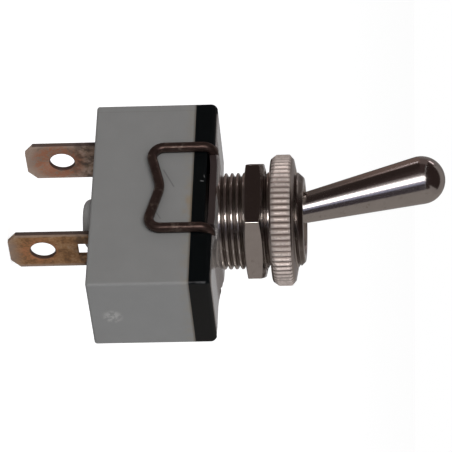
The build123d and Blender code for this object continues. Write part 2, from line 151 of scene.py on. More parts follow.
# Wire clips
wire_radius = 0.62
wire_left_x = clip_low[0] + wire_radius
wire_right_x = clip_high[0] - wire_radius
wire_y = clip_low[1] + wire_radius
wire_top_z = clip_high[2] - wire_radius
wire_hook_y = clip_high[1]
wire_leg_z = wire_top_z - 7.9
wire_kink_z = wire_top_z - 6.25
wire_kink_x = -0.6
wire_top_bend = 1.3
wire_corner_bend = 1.5
wire_kink_bend = 3.5

# Blades
blade_half_width = 3.15
blade_half_thickness = 0.25
blade_hole_radius = 1.55
common_hole_from_tip = 4.2
fixed_hole_from_tip = 4.55

# Marks: a mark is drawn from one (x, z) to another, with its width
front_mask = (-5.8, -5.95)
scuff_place = (14.2, 0.4, -13.0)
long_scratch = ((-3.56, -6.98), (-0.81, -5.56), 0.13)
short_scratch = ((3.2, -7.55), (4.2, -7.02), 0.1)
upright_dent = ((-1.7, -2.35), (-1.62, -1.95), 0.13)
level_dent = ((-2.6, -1.95), (-2.2, -1.85), 0.07)

# The camera stands where the photographer stood, turned so that the bush points right
camera_place = Vector((282.08, -350.08, 34.76)) * MM
camera_aim = Vector((0.37, 0.43, 0.41)) * MM
picture_right = Vector((-0.03092, 0.07285, 0.99686))
sensor_width = 36.0
lens_length = 289.9

# Light
floor_half = 1.6
floor_drop = 0.05
floor_glow = 0.62
world_on_matt_faces = 0.43
world_seen = 1.0
lamp_size = 0.5
lamps = [
    ("key", (0.15, -0.75, 0.35), 4.2, (1.0, 1.0, 1.0)),
    ("side", (0.8, 0.1, 0.15), 3.7, (0.92, 0.96, 1.0)),
]


# Meshes from arrays

def grid_quads(rows, columns, wrap_rows, wrap_columns):
    """Quads of a rows by columns grid; a wrapped direction joins its last line to its first."""
    last_row = rows if wrap_rows else rows - 1
    last_column = columns if wrap_columns else columns - 1
    r, c = np.meshgrid(np.arange(last_row), np.arange(last_column), indexing="ij")
    r_next = (r + 1) % rows
    c_next = (c + 1) % columns
    here = r * columns
    beyond = r_next * columns
    quads = np.stack([here + c, here + c_next, beyond + c_next, beyond + c], -1)
    return quads.reshape(-1, 4)


def surface(name, points, wrap_rows=False, wrap_columns=True, sharp_degrees=40.0):
    """A mesh object from a (rows, columns, 3) array in millimetres, poles merged, faces outward."""
    rows, columns = points.shape[:2]
    quads = grid_quads(rows, columns, wrap_rows, wrap_columns)
    mesh = bpy.data.meshes.new(name)
    mesh.from_pydata((points.reshape(-1, 3) * MM).tolist(), [], quads.tolist())
    sheet = bmesh.new()
    sheet.from_mesh(mesh)
    bmesh.ops.remove_doubles(sheet, verts=sheet.verts, dist=1e-7)
    bmesh.ops.recalc_face_normals(sheet, faces=sheet.faces)
    sheet.to_mesh(mesh)
    sheet.free()
    mesh.shade_smooth()
    mesh.set_sharp_from_angle(angle=math.radians(sharp_degrees))
    piece = bpy.data.objects.new(name, mesh)
    bpy.context.scene.collection.objects.link(piece)
    return piece


def around(radius, height, columns):
    """Revolve: radius and height are (rows,) or (rows, columns) arrays, carried round Z."""
    angle = np.linspace(0, 2 * math.pi, columns, endpoint=False)
    radius = np.broadcast_to(np.asarray(radius).reshape(len(radius), -1), (len(radius), columns))
    height = np.broadcast_to(np.asarray(height).reshape(len(height), -1), (len(height), columns))
    return np.stack([radius * np.cos(angle), radius * np.sin(angle), height], -1)


def arc_points(centre, radius, start_degrees, end_degrees, steps):
    """Points (r, z) on an arc about a centre, from one angle to another."""
    turn = np.radians(np.linspace(start_degrees, end_degrees, steps))
    return np.stack([centre[0] + radius * np.cos(turn), centre[1] + radius * np.sin(turn)], -1)


def rounded_run(corners, radii, arc_steps, spacing):
    """Straight runs joined by tangent arcs: at each corner the arc leaves the run at
    radius * tan(half turn) before it and follows the circle to the same distance after it."""
    corners = np.asarray(corners, float)
    points = [corners[0]]
    for here, before, after, radius in zip(corners[1:-1], corners[:-2], corners[2:], radii):
        into = (before - here) / np.linalg.norm(before - here)
        out = (after - here) / np.linalg.norm(after - here)
        half = math.acos(np.clip(np.dot(into, out), -1, 1)) / 2
        reach = radius / math.tan(half)
        bisector = (into + out) / np.linalg.norm(into + out)
        centre = here + bisector * radius / math.sin(half)
        start = here + into * reach
        u = (start - centre) / radius
        v = -into
        sweep = np.linspace(0, math.pi - 2 * half, arc_steps)
        points += list(centre + radius * (np.outer(np.cos(sweep), u) + np.outer(np.sin(sweep), v)))
    points.append(corners[-1])
    filled = [points[0]]
    for a, b in zip(points[:-1], points[1:]):
        count = max(1, int(np.linalg.norm(b - a) / spacing))
        filled += [a + (b - a) * k / count for k in range(1, count + 1)]
    return np.array(filled)


def tube(name, path, radius, sides):
    """A round wire: each ring is the path point plus radius times two directions square to
    the path, carried along without twist, and both ends are closed with a small dome."""
    tangent = np.gradient(path, axis=0)
    tangent /= np.linalg.norm(tangent, axis=1)[:, None]
    normal = np.zeros_like(path)
    seed = np.array([0.0, 1.0, 0.0]) if abs(tangent[0][1]) < 0.9 else np.array([1.0, 0.0, 0.0])
    normal[0] = np.cross(tangent[0], seed)
    normal[0] /= np.linalg.norm(normal[0])
    for k in range(1, len(path)):
        carried = normal[k - 1] - tangent[k] * np.dot(normal[k - 1], tangent[k])
        normal[k] = carried / np.linalg.norm(carried)
    side = np.cross(tangent, normal)
    angle = np.linspace(0, 2 * math.pi, sides, endpoint=False)[None, :, None]
    ring = np.cos(angle) * normal[:, None, :] + np.sin(angle) * side[:, None, :]
    body = path[:, None, :] + radius * ring
    lift = np.array([0.0, 0.075, 0.135])[:, None, None] * radius
    share = np.array([0.9, 0.6, 0.0])[:, None, None] * radius
    first_cap = path[0] - lift * tangent[0] + share * ring[0]
    last_cap = path[-1] + lift * tangent[-1] + share * ring[-1]
    rows = np.concatenate([first_cap[::-1], body, last_cap], 0)
    return surface(name, rows)


# Shapes

def make_bush():
    """The bush: outside, r = R - depth * V, where V is the thread's saw tooth of
    z / pitch - angle / 2 pi, with a flat crest and a rounded root; inside, a plain profile."""
    columns = 192
    top = bush_high[2]
    angle = np.linspace(0, 2 * math.pi, columns, endpoint=False)[None, :]
    z = np.linspace(thread_foot + 0.02, top - 0.02, 220)[:, None]
    phase = (z - thread_crest_z) / thread_pitch - (angle - thread_crest_azimuth) / (2 * math.pi)
    away = np.abs(phase - np.round(phase)) * 2
    tooth = np.clip((away - thread_crest_share) / thread_flank_share, 0, 1)
    tooth = tooth - thread_rounding * np.sin(2 * math.pi * tooth)
    run_in = np.clip((z - thread_start) / thread_run_in, 0, 1)
    outside = bush_radius - thread_depth * tooth * run_in
    into_chamfer = np.clip(z - (top - bush_chamfer), 0, None)
    cone = bush_radius + 0.03 - into_chamfer * bush_chamfer_slope
    outside = np.minimum(outside, cone)
    edge = float(cone[-1, 0])
    rim = np.array([
        (edge - 0.06, top),
        (mouth_radius + 0.14, top),
        (mouth_radius + 0.04, top - 0.03),
        (mouth_radius, top - 0.12),
    ])
    throat = np.linspace((mouth_radius - 0.03, top - 0.2), (throat_radius, throat_z), 12)
    opening = math.degrees(math.asin((throat_z - pivot_z) / socket_radius))
    socket = arc_points((0, pivot_z), socket_radius, opening, 2, 12)
    inner = np.array([
        (bore_radius, pivot_z),
        (bore_radius, bush_low[2]),
        (flange_radius, bush_low[2]),
        (flange_radius, flange_top),
        (spigot_radius, flange_top),
        (spigot_radius, thread_foot),
        (bush_radius - 0.45, thread_foot),
    ])
    plain = np.concatenate([rim, throat, socket, inner])
    radius = np.concatenate([outside, np.repeat(plain[:, :1], columns, 1)])
    height = np.concatenate([np.repeat(z, columns, 1), np.repeat(plain[:, 1:], columns, 1)])
    points = around(radius, height, columns)
    return surface("bush_with_thread", points, wrap_rows=True, sharp_degrees=50)


def make_hex_nut():
    """Hexagon r = flat / cos(angle from the middle of the flat); a shallow cone takes the
    corners off on each side, so its edge dips in an arc over every flat."""
    per_side = 20
    columns = 6 * per_side
    from_corner = (np.arange(columns) % per_side) / per_side * math.radians(60)
    hexagon = hex_flat_radius / np.cos(from_corner - math.radians(30))
    front_drop = (hexagon - hex_front_radius) * math.tan(hex_front_angle)
    back_drop = (hexagon - hex_back_radius) * math.tan(hex_back_angle)
    low, high = hex_low[2], hex_high[2]
    one = np.ones(columns)
    rows = [
        (nut_bore * one, (low + nut_mouth) * one),
        ((nut_bore + nut_mouth) * one, low * one),
        (hex_back_radius * one, low * one),
        (hexagon, low + back_drop),
        (hexagon, high - front_drop),
        (hex_front_radius * one, high * one),
        ((nut_bore + nut_mouth) * one, high * one),
        (nut_bore * one, (high - nut_mouth) * one),
    ]
    radius = np.array([row[0] for row in rows])
    height = np.array([row[1] for row in rows])
    points = around(radius, height, columns)
    turn = hex_corner_azimuth
    x = points[..., 0] * math.cos(turn) - points[..., 1] * math.sin(turn)
    y = points[..., 0] * math.sin(turn) + points[..., 1] * math.cos(turn)
    turned = np.stack([x, y, points[..., 2]], -1)
    nut = surface("hex_nut_chamfered", turned, wrap_rows=True, sharp_degrees=180)
    return bevel(nut, 0.08, 3)


def bevel(piece, width, segments):
    """Rounds every edge sharper than 12 degrees by a small width in millimetres."""
    rounding = piece.modifiers.new("edge rounding", "BEVEL")
    rounding.width = width * MM
    rounding.segments = segments
    rounding.limit_method = "ANGLE"
    rounding.angle_limit = math.radians(12)
    rounding.harden_normals = True
    return piece


def make_knurled_nut():
    """Ring with straight teeth: r = R - depth * V of the tooth's angle, cut by the shoulders'
    bevels, so that the teeth run out to points on the bevels, as a turned and rolled nut's do."""
    per_tooth = 10
    columns = knurl_count * per_tooth
    low, high = ring_low[2], ring_high[2]
    outer = ring_high[0]
    shoulder = outer - ring_bevel_width
    front = high - ring_face_fall
    u = np.abs((np.arange(columns) % per_tooth) / per_tooth - 0.5) * 2
    tooth = np.clip((u - knurl_crest_share) / (1 - knurl_root_share - knurl_crest_share), 0, 1)
    clear = outer + ring_crest_room
    back_end = low + ring_back_bevel
    front_end = front - ring_front_bevel
    round_middle = shoulder - ring_edge_round
    profile = np.concatenate([
        arc_points((round_middle, low + ring_edge_round), ring_edge_round, -90, -50, 4),
        np.linspace((shoulder, low + 0.04), (clear, back_end), 8),
        np.linspace((clear, back_end + ring_bevel_end), (clear, front_end - ring_bevel_end), 6),
        np.linspace((clear, front_end), (shoulder, front - 0.04), 8),
        arc_points((round_middle, front - 0.08), ring_edge_round, 50, 84, 4),
    ])
    teeth = (outer - knurl_depth * tooth)[None, :]
    radius = np.minimum(profile[:, :1], teeth)
    height = np.repeat(profile[:, 1:], columns, 1)
    bore = np.array([
        (nut_bore + ring_face_width + 0.06, high - 0.01),
        (nut_bore + ring_face_width, high),
        (nut_bore + nut_mouth + 0.04, high),
        (nut_bore + nut_mouth, high - 0.02),
        (nut_bore, high - nut_mouth),
        (nut_bore, low + nut_mouth),
        (nut_bore + nut_mouth, low + 0.02),
        (nut_bore + nut_mouth + 0.04, low),
    ])
    radius = np.concatenate([radius, np.repeat(bore[:, :1], columns, 1)])
    height = np.concatenate([height, np.repeat(bore[:, 1:], columns, 1)])
    points = around(radius, height, columns)
    return surface("ring_nut_knurled", points, wrap_rows=True, sharp_degrees=32)


def make_lever():
    """The lever turned about its own axis: stem, ball, neck, straight taper and a round tip
    tangent to it; then the whole is tilted about the pivot."""
    taper = math.asin((tip_radius - mouth_neck_radius) / (tip_at - mouth_neck_at))
    foot = np.array([
        (0, stem_bore_depth - stem_length),
        (stem_bore_radius, stem_bore_depth - stem_length),
        (stem_bore_radius + 0.05, -stem_length),
        (stem_radius - 0.1, -stem_length),
        (stem_radius, 0.1 - stem_length),
        (stem_radius, stem_top),
    ])
    ball_from = -math.degrees(math.acos(stem_radius / ball_radius))
    ball_to = math.degrees(math.acos((neck_radius + 0.1) / ball_radius))
    ball = arc_points((0, 0), ball_radius, ball_from, ball_to, 28)
    ball_top = ball_radius * math.sin(math.radians(ball_to))
    neck = np.linspace((neck_radius, ball_top + 0.25), (neck_radius, neck_top), 4)
    bat_start = (mouth_neck_radius, mouth_neck_at)
    bat_end = (tip_radius * math.cos(taper), tip_at - tip_radius * math.sin(taper))
    bat = np.linspace(bat_start, bat_end, 24)
    tip = arc_points((0, tip_at), tip_radius, -math.degrees(taper) + 2, 90, 26)
    profile = np.concatenate([foot, ball, neck, bat, tip])
    points = around(profile[:, 0], profile[:, 1], 112)
    x = points[..., 0] * math.cos(lever_tilt) - points[..., 2] * math.sin(lever_tilt)
    z = points[..., 0] * math.sin(lever_tilt) + points[..., 2] * math.cos(lever_tilt) + pivot_z
    return surface("lever_polished", np.stack([x, points[..., 1], z], -1), sharp_degrees=45)


def make_clip(name, side):
    """A clip's centre line: hook over the rim, down the face, the kink and back up, as straight
    runs and arcs; side is 1 for the front clip and -1 for the same clip turned half round."""
    corners = np.array([
        (wire_right_x, wire_hook_y, wire_top_z),
        (wire_right_x, wire_y, wire_top_z),
        (wire_right_x, wire_y, wire_leg_z),
        (wire_kink_x, wire_y, wire_kink_z),
        (wire_left_x, wire_y, wire_leg_z),
        (wire_left_x, wire_y, wire_top_z),
        (wire_left_x, wire_hook_y, wire_top_z),
    ])
    corners[:, :2] *= side
    bends = [wire_top_bend, wire_corner_bend, wire_kink_bend, wire_corner_bend, wire_top_bend]
    return tube(name, rounded_run(corners, bends, 14, 0.4), wire_radius, 28)


# Shader maths as expressions

class Value:
    """A socket with arithmetic: each operator adds one Math node to the same tree."""

    def __init__(self, paint, socket):
        self.paint = paint
        self.socket = socket

    def _math(self, operation, *others):
        return self.paint.add("ShaderNodeMath", {"operation": operation}, [self, *others])

    def __add__(self, other):
        return self._math("ADD", other)

    def __radd__(self, other):
        return self._math("ADD", other)

    def __sub__(self, other):
        return self._math("SUBTRACT", other)

    def __rsub__(self, other):
        return self.paint.add("ShaderNodeMath", {"operation": "SUBTRACT"}, [other, self])

    def __mul__(self, other):
        return self._math("MULTIPLY", other)

    def most(self, other):
        return self._math("MAXIMUM", other)

    def size(self):
        return self._math("ABSOLUTE")

    def fraction(self):
        return self._math("FRACT")

    def root(self):
        return self._math("SQRT")


class Paint:
    def __init__(self, name):
        self.material = bpy.data.materials.new(name)
        self.material.use_nodes = True
        self.tree = self.material.node_tree
        self.tree.nodes.clear()
        self.output = self.tree.nodes.new("ShaderNodeOutputMaterial")
        metres = self.add("ShaderNodeTexCoord", {}, {}, "Object")
        inputs = {"Vector": metres, "Scale": 1 / MM}
        self.place = self.add("ShaderNodeVectorMath", {"operation": "SCALE"}, inputs)
        self.x, self.y, self.z = self.split(self.place)

    def add(self, kind, settings, inputs, output=0):
        """Adds a node: settings are set first, then values or links of its sockets."""
        node = self.tree.nodes.new(kind)
        for key, value in settings.items():
            if key == "stops":
                ramp = node.color_ramp.elements
                while len(ramp) < len(value):
                    ramp.new(0.5)
                for stop, (position, colour) in zip(ramp, value):
                    stop.position = position
                    stop.color = (*colour, 1.0)
            else:
                setattr(node, key, value)
        pairs = inputs.items() if isinstance(inputs, dict) else enumerate(inputs)
        for key, value in pairs:
            if isinstance(value, Value):
                self.tree.links.new(value.socket, node.inputs[key])
            elif isinstance(value, tuple) and len(value) == 3 and node.inputs[key].type == "RGBA":
                node.inputs[key].default_value = (*value, 1.0)
            else:
                node.inputs[key].default_value = value
        return Value(self, node.outputs[output])

    def split(self, vector):
        node = self.tree.nodes.new("ShaderNodeSeparateXYZ")
        self.tree.links.new(vector.socket, node.inputs[0])
        return [Value(self, socket) for socket in node.outputs]

    def stretched(self, sx, sy, sz):
        """Coordinates in millimetres multiplied axis by axis, for grain with a direction."""
        return self.add("ShaderNodeMapping", {}, {"Vector": self.place, "Scale": (sx, sy, sz)})

    def noise(self, scale, detail=4.0, rough=0.55, place=None, shift=0.0):
        """Noise from 0 to 1 at a scale per millimetre."""
        source = place or self.place
        if shift:
            inputs = {"Vector": source, "Location": (shift, shift, -shift)}
            source = self.add("ShaderNodeMapping", {}, inputs)
        inputs = {"Vector": source, "Scale": scale, "Detail": detail, "Roughness": rough}
        return self.add("ShaderNodeTexNoise", {}, inputs, "Fac")

    def step(self, value, low, high):
        """0 below low, 1 above high and smooth between; the limits may be the other way round."""
        settings = {"interpolation_type": "SMOOTHSTEP"}
        inputs = {0: value, 1: low, 2: high, 3: 0.0, 4: 1.0}
        if low > high:
            inputs = {0: value, 1: high, 2: low, 3: 1.0, 4: 0.0}
        return self.add("ShaderNodeMapRange", settings, inputs)

    def mix(self, share, first, second):
        """A colour between two colours."""
        inputs = {0: share, 6: first, 7: second}
        return self.add("ShaderNodeMix", {"data_type": "RGBA"}, inputs, 2)

    def ramp(self, value, stops):
        return self.add("ShaderNodeValToRGB", {"stops": stops}, [value])

    def bump(self, height, distance, strength=1.0):
        """Normal from a height; distance is in millimetres."""
        inputs = {"Strength": strength, "Distance": distance * MM, "Height": height}
        return self.add("ShaderNodeBump", {}, inputs)

    def near(self, x, y, z, radius, soft):
        """1 inside a ball about a point, 0 outside it."""
        inputs = [self.place, (x, y, z)]
        offset = self.add("ShaderNodeVectorMath", {"operation": "DISTANCE"}, inputs, "Value")
        return self.step(offset, radius + soft, radius)

    def line(self, start, end, width):
        """1 along a straight mark between two (x, z) points, fading out over its width."""
        run = math.hypot(end[0] - start[0], end[1] - start[1])
        ux, uz = (end[0] - start[0]) / run, (end[1] - start[1]) / run
        along = (self.x - start[0]) * ux + (self.z - start[1]) * uz
        across = (self.x - start[0]) * uz - (self.z - start[1]) * ux
        inside = self.step(along, -0.1, 0.1) * self.step(along, run + 0.1, run - 0.1)
        return inside * self.step(across.size(), width, width * 0.35)

    def finish(self, **sockets):
        shader = self.tree.nodes.new("ShaderNodeBsdfPrincipled")
        for key, value in sockets.items():
            name = key.replace("_", " ").title().replace("Ior", "IOR")
            socket = shader.inputs[name]
            if isinstance(value, Value):
                self.tree.links.new(value.socket, socket)
            elif isinstance(value, tuple):
                socket.default_value = (*value, 1.0)
            else:
                socket.default_value = value
        self.tree.links.new(shader.outputs[0], self.output.inputs[0])
        return self.material


# Finishes

def grey_moulding():
    """Satin grey thermoset: fine mottle, brown staining along the cover's seam and the wire,
    painted shade as a dark band just under the cover, the boss made paler as painted light,
    a pale rubbed patch, a faint witness line and a few hair scratches."""
    p = Paint("grey moulding")
    cloud = p.noise(0.35, 5.0)
    grain = p.noise(6.0, 3.0, shift=3.0)
    colour = p.mix(cloud, (0.168, 0.166, 0.163), (0.192, 0.190, 0.186))
    speck = p.step(grain, 0.66, 0.74)
    colour = p.mix(speck * 0.25, colour, (0.11, 0.105, 0.1))
    stain_noise = p.noise(0.9, 5.0, shift=7.0)
    seam = p.step(p.z, seam_z - 1.7, seam_z - 0.1)
    stain = seam * p.step(stain_noise, 0.38, 0.62)
    colour = p.mix(stain * 0.3, colour, (0.20, 0.165, 0.115))
    inside_clip = p.step(p.x, -2.5, 2.0) * p.step(p.x, 6.2, 5.0) * p.step(p.y, -5.5, -5.9)
    from_seam = stain_noise * 2.6 + (p.z - seam_z)
    colour = p.mix(inside_clip * p.step(from_seam, 0.3, 1.3) * 0.6, colour, (0.21, 0.15, 0.085))
    # Painted shade: a dark brown band just under the cover's edge, along the seam.
    darkening = p.step(p.z, seam_z - 0.35, seam_z - 0.02)
    colour = p.mix(darkening * 0.6, colour, (0.06, 0.045, 0.028))
    # Painted light: the boss at the foot of the housing is made a paler grey to make up for the
    # shade it stands in.
    boss_z = housing_low[2] + 1.4
    colour = p.mix(p.step(p.z, boss_z + 0.05, boss_z - 0.1), colour, (0.27, 0.265, 0.262))
    witness = p.step((p.x + body_half_length - 1.1).size(), 0.12, 0.02)
    colour = p.mix(witness * 0.25, colour, (0.12, 0.115, 0.11))
    blotch = p.noise(1.4, 5.0, 0.7, shift=33.0)
    rub = p.near(*scuff_place, 0.6, 0.9) * p.step(blotch, 0.42, 0.54)
    colour = p.mix(rub * 0.5, colour, (0.38, 0.37, 0.35))
    front = p.step(p.y, *front_mask)
    scratch = p.line(*long_scratch).most(p.line(*short_scratch))
    colour = p.mix(scratch * front * 0.55, colour, (0.075, 0.075, 0.075))
    rough = 0.42 + cloud * 0.12 + rub * 0.15
    height = grain * 0.4 + p.noise(1.2, 2.0, shift=5.0) * 0.6
    return p.finish(base_color=colour, roughness=rough, normal=p.bump(height, 0.02, 0.5),
                    specular_ior_level=0.45)


def black_moulding():
    """Near-black glossy moulding with dust specks and a painted highlight along the front-right
    corner edge.
    """
    p = Paint("black moulding")
    cloud = p.noise(0.5, 4.0)
    dust = p.step(p.noise(7.0, 2.0, shift=2.0), 0.72, 0.78)
    colour = p.mix(cloud, (0.0006, 0.0016, 0.0020), (0.0014, 0.0028, 0.0034))
    colour = p.mix(dust * 0.2, colour, (0.08, 0.08, 0.08))
    dent = p.line(*upright_dent).most(p.line(*level_dent))
    colour = p.mix(dent * p.step(p.y, *front_mask) * 0.55, colour, (0.16, 0.16, 0.16))
    # Painted highlight: a pale line in patches along the front-right corner edge.
    corner = body_half_length + body_half_depth
    wear_and_highlight = p.step(p.x - p.y, corner - 0.3, corner - 0.1)
    colour = p.mix(wear_and_highlight * p.step(cloud, 0.35, 0.6) * 0.6, colour, (0.14, 0.14, 0.145))
    rough = 0.26 + cloud * 0.12 + dust * 0.2
    height = p.noise(2.0, 3.0, shift=4.0)
    return p.finish(base_color=colour, roughness=rough, normal=p.bump(height, 0.015, 0.5),
                    specular_ior_level=0.32)


def plate_steel():
    """Dull plated sheet: grey with darker streaks across and a painted dark reflection along the
    front edge.
    """
    p = Paint("plate steel")
    streak = p.noise(0.9, 5.0, place=p.stretched(0.5, 2.2, 1.0))
    blot = p.noise(0.7, 4.0, shift=6.0)
    colour = p.mix(streak, (0.50, 0.48, 0.475), (0.66, 0.645, 0.635))
    colour = p.mix(p.step(blot, 0.56, 0.78) * 0.5, colour, (0.2, 0.17, 0.155))
    # Painted reflection: a dark reddish band along the front edge, starting lower towards the ends
    # where the sheet lies lower, stands for the dark surroundings mirrored in the rounded edge.
    from_top = p.z + p.step(p.x.size(), 3.5, 10.0) * 0.6
    edge = p.step(from_top, -0.27, -0.43)
    colour = p.mix(edge * 0.9, colour, (0.085, 0.052, 0.05))
    rough = 0.07 + streak * 0.06 + edge * 0.3
    return p.finish(base_color=colour, metallic=0.85, roughness=rough,
                    normal=p.bump(streak, 0.01, 0.4))


def bright_nickel(name, scratch_scale, dull=0.0):
    """Nickel plate: bright metal, very fine scratches and brown tarnish in patches."""
    p = Paint(name)
    haze = p.noise(0.6, 5.0)
    fine = p.noise(scratch_scale, 6.0, shift=9.0)
    colour = p.mix(haze, (0.60, 0.565, 0.54), (0.70, 0.665, 0.64))
    tarnish = p.step(p.noise(1.4, 5.0, shift=4.0), 0.58, 0.8)
    colour = p.mix(tarnish * 0.45, colour, (0.40, 0.33, 0.28))
    rough = 0.10 + dull + fine * 0.06 + tarnish * 0.12
    return p.finish(base_color=colour, metallic=1.0, roughness=rough,
                    normal=p.bump(fine, 0.004, 0.35))


def thread_nickel():
    """The bush: bright crests, darker brown in the thread's roots, and painted shade, near black,
    at its foot below the plate's top.
    """
    p = Paint("thread nickel")
    reach = (p.x * p.x + p.y * p.y).root()
    depth = p.step(reach, bush_radius - 0.1, bush_radius - thread_depth * 0.95)
    outside = p.step(reach, bush_radius - 0.8, bush_radius - 0.6)
    haze = p.noise(0.7, 5.0)
    colour = p.mix(haze, (0.60, 0.56, 0.53), (0.70, 0.66, 0.63))
    # Darker brown in the thread's roots, in patches.
    darkening = depth * outside * p.step(p.noise(1.1, 4.0, shift=3.0), 0.12, 0.5)
    colour = p.mix(darkening * 0.74, colour, (0.10, 0.072, 0.056))
    # Painted shade: near black below the plate's top, where the bush's foot sits in the plate.
    below = p.step(p.z, -0.5, -0.9)
    colour = p.mix(below * 0.97, colour, (0.01, 0.008, 0.007))
    rough = 0.13 + haze * 0.06 + darkening * 0.15 + below * 0.4
    return p.finish(base_color=colour, metallic=1.0, roughness=rough,
                    normal=p.bump(p.noise(5.0, 4.0, shift=1.0), 0.006, 0.4))


def knurl_nickel():
    """The ring nut: a painted cream highlight on the crests, bright flanks and painted shade in the
    roots.
    """
    p = Paint("ring nut nickel")
    reach = (p.x * p.x + p.y * p.y).root()
    outer = ring_high[0]
    teeth = p.step(reach, outer - knurl_depth - 0.05, outer - knurl_depth + 0.02)
    turn = p.add("ShaderNodeMath", {"operation": "ARCTAN2"}, [p.y, p.x])
    from_crest = ((turn * (knurl_count / (2 * math.pi))).fraction() - 0.5).size() * 2
    crest = p.step(from_crest, 0.62, 0.40) * teeth
    root = p.step(from_crest, 0.62, 0.88) * teeth
    fine = p.noise(4.0, 6.0, shift=9.0)
    haze = p.noise(0.8, 5.0)
    colour = p.mix(haze, (0.58, 0.53, 0.50), (0.68, 0.63, 0.60))
    # A mid brown over the teeth, between the painted highlight on the crests and the painted shade
    # in the roots.
    colour = p.mix(teeth * 0.8, colour, (0.36, 0.29, 0.255))
    # Painted highlight: cream on the crests, with darker mottling.
    colour = p.mix(crest * 0.9, colour, (0.78, 0.68, 0.63))
    colour = p.mix(crest * p.step(fine, 0.5, 0.66) * 0.45, colour, (0.30, 0.24, 0.21))
    # Painted shade: dark brown in the roots between the teeth.
    colour = p.mix(root * 0.7, colour, (0.09, 0.06, 0.05))
    rough = 0.15 + teeth * 0.26 + fine * 0.10
    return p.finish(base_color=colour, metallic=1.0 - teeth * 0.4, roughness=rough,
                    normal=p.bump(fine, 0.006, 0.5))


def clip_wire():
    """Drawn spring wire gone brown, with lengthwise rub marks and paler spots of wear."""
    p = Paint("clip wire")
    patch = p.noise(1.1, 5.0)
    fine = p.noise(9.0, 4.0, shift=2.0)
    wear_and_highlight = p.step(p.noise(0.8, 4.0, shift=8.0), 0.55, 0.75)
    colour = p.mix(patch, (0.064, 0.041, 0.035), (0.145, 0.097, 0.083))
    colour = p.mix(wear_and_highlight * 0.5, colour, (0.42, 0.34, 0.28))
    rough = 0.26 + fine * 0.16
    return p.finish(base_color=colour, metallic=0.9, roughness=rough,
                    normal=p.bump(fine, 0.01, 0.5))


def blade_brass(name, hole, dark_from, stops, pale, bloom_colour, bloom_radius):
    """Tarnished blade: mottled ground, paler border and tip, copper bloom about the hole, dark
    edges and hole wall, and a dark cloud towards the housing."""
    p = Paint(name)
    cloud = p.noise(0.8, 6.0, 0.6)
    fine = p.noise(3.2, 6.0, 0.7, shift=5.0)
    colour = p.ramp(cloud * 0.5 + fine * 0.5, stops)
    tip_low = hole[2] - 4.6
    tip = p.step(p.z + cloud * 2.0, tip_low + 3.2, tip_low + 1.0)
    border = p.step(p.y.size() + cloud * 0.5, blade_half_width - 0.4, blade_half_width - 0.05)
    colour = p.mix(tip.most(border * 0.7) * 0.8, colour, pale)
    bloom = p.near(hole[0], hole[1], hole[2] - 0.5, bloom_radius, 1.4)
    bloom = bloom * p.step(fine * 0.6 + cloud * 0.4, 0.44, 0.53)
    colour = p.mix(bloom * 0.75, colour, bloom_colour)
    # Darker towards the housing, in patches.
    near_housing_dark = p.step(p.z, dark_from, dark_from + 2.2)
    near_housing_dark = near_housing_dark * p.step(p.noise(0.9, 5.0, shift=9.0), 0.42, 0.62)
    colour = p.mix(near_housing_dark * 0.7, colour, (0.05, 0.036, 0.026))
    from_hole = (p.y * p.y + (p.z - hole[2]) * (p.z - hole[2])).root()
    rim = p.step(from_hole, blade_hole_radius + 0.17, blade_hole_radius + 0.01)
    rim = rim.most(p.step(p.y.size(), blade_half_width - 0.13, blade_half_width - 0.03))
    colour = p.mix(rim * 0.85, colour, (0.045, 0.028, 0.026))
    rough = 0.42 + fine * 0.25
    return p.finish(base_color=colour, metallic=0.3, roughness=rough,
                    normal=p.bump(fine * 0.6 + cloud * 0.4, 0.03, 0.6))


def plain_metal(name, dark, light, roughness):
    """Clean metal of the inner pieces: two near shades and a fine grain."""
    p = Paint(name)
    cloud = p.noise(1.2, 4.0)
    fine = p.noise(8.0, 3.0, shift=3.0)
    return p.finish(base_color=p.mix(cloud, dark, light), metallic=1.0,
                    roughness=roughness + fine * 0.1, normal=p.bump(fine, 0.005, 0.4))


def plain_moulding(name, dark, light, scale, roughness):
    """Nylon or fibre of the inner pieces: mottled colour and a soft grain."""
    p = Paint(name)
    cloud = p.noise(scale, 5.0)
    return p.finish(base_color=p.mix(cloud, dark, light), roughness=roughness + cloud * 0.1,
                    normal=p.bump(cloud, 0.02, 0.5))


# Studio

def make_camera():
    """Looks from the photographer's place to the aim, turned until the bush's axis lies level."""
    forward = (camera_aim - camera_place).normalized()
    right = (picture_right - picture_right.dot(forward) * forward).normalized()
    up = right.cross(forward)
    turn = Matrix((right, up, -forward)).transposed().to_4x4()
    data = bpy.data.cameras.new("camera")
    data.sensor_width = sensor_width
    data.lens = lens_length
    data.clip_start = 0.01
    data.clip_end = 50
    camera = bpy.data.objects.new("camera", data)
    camera.matrix_world = Matrix.Translation(camera_place) @ turn
    bpy.context.scene.collection.objects.link(camera)
    bpy.context.scene.camera = camera


def light_path_mask(tree):
    """1 for rays from the camera, off a mirror or through glass, 0 for the light on matt faces."""
    path = tree.nodes.new("ShaderNodeLightPath")
    total = None
    for name in ("Is Camera Ray", "Is Glossy Ray", "Is Transmission Ray"):
        if total is None:
            total = path.outputs[name]
            continue
        add = tree.nodes.new("ShaderNodeMath")
        add.operation = "ADD"
        add.use_clamp = True
        tree.links.new(total, add.inputs[0])
        tree.links.new(path.outputs[name], add.inputs[1])
        total = add.outputs[0]
    return total


